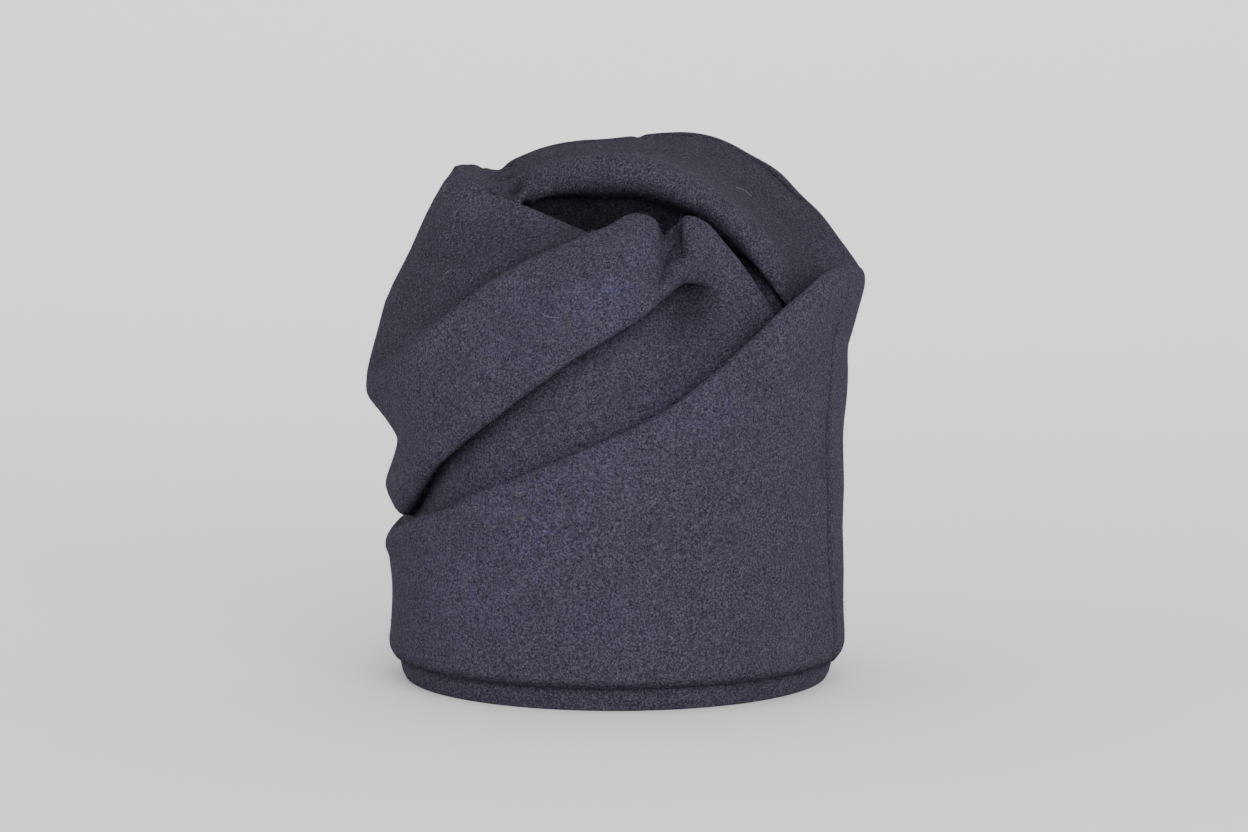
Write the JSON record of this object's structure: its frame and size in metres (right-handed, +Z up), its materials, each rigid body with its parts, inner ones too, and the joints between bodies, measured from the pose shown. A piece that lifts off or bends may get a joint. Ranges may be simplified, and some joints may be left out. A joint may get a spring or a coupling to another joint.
{
  "type": "turban hat",
  "caption": "Tall draped turban hat of thick felted wool, folded and tucked round an open crown, standing on its plain inner head band.",
  "frame": {"origin": "middle of the hat's box in plan, at the floor that its head band stands on", "axes": "+Z up from the open mouth to the crown, -Y towards the front with the folds, +X to the right as the picture shows it"},
  "size_m": [0.204, 0.202, 0.2217],
  "materials": {
    "head_band_felt": "thick felted wool, matt, purplish navy",
    "front_drape_felt": "thick felted wool, matt, purplish navy",
    "right_back_panel_felt": "thick felted wool, matt, purplish navy",
    "left_back_panel_felt": "thick felted wool, matt, purplish navy"
  },
  "bodies": {
    "root": {"head_band": "head_band_felt", "front_drape": "front_drape_felt", "right_back_panel": "right_back_panel_felt", "left_back_panel": "left_back_panel_felt"}
  },
  "joints": []
}
